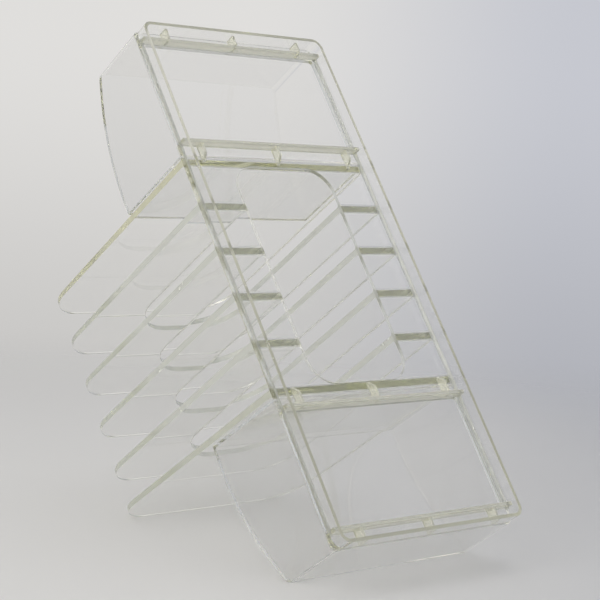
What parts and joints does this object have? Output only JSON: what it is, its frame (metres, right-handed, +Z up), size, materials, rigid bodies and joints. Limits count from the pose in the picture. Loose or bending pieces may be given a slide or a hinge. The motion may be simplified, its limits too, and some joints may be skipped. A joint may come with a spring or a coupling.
{
  "type": "bottle rack",
  "caption": "Clear plastic countertop rack with parallel shelves behind a framed open plate and a box tray at each end, standing in its leaning pose.",
  "frame": {"origin": "centre of the bounding box at the level of the surface the rack stands on", "axes": "+X across the rack's width, +Y from the rim side towards the shelves, +Z up, with the rack in its leaning pose"},
  "size_m": [0.15, 0.3134, 0.3225],
  "materials": {
    "rim": "clear polished acrylic, olive at its edges",
    "plate": "clear polished acrylic sheet with light dust",
    "shelf": "clear polished acrylic, olive at its edges, light scuffs",
    "rib": "clear moulded acrylic",
    "tray": "thin clear moulded acrylic, almost colourless"
  },
  "bodies": {
    "root": {"rim_frame": "rim", "back_plate": "plate", "top_shelf": "shelf", "shelf_2": "shelf", "shelf_3": "shelf", "shelf_4": "shelf", "shelf_5": "shelf", "foot_shelf": "shelf", "upper_outer_rib": "rib", "upper_inner_rib": "rib", "lower_inner_rib": "rib", "lower_outer_rib": "rib", "upper_outer_webs": "rib", "upper_inner_webs": "rib", "lower_inner_webs": "rib", "lower_outer_webs": "rib", "top_tray": "tray", "bottom_tray": "tray"}
  },
  "joints": []
}
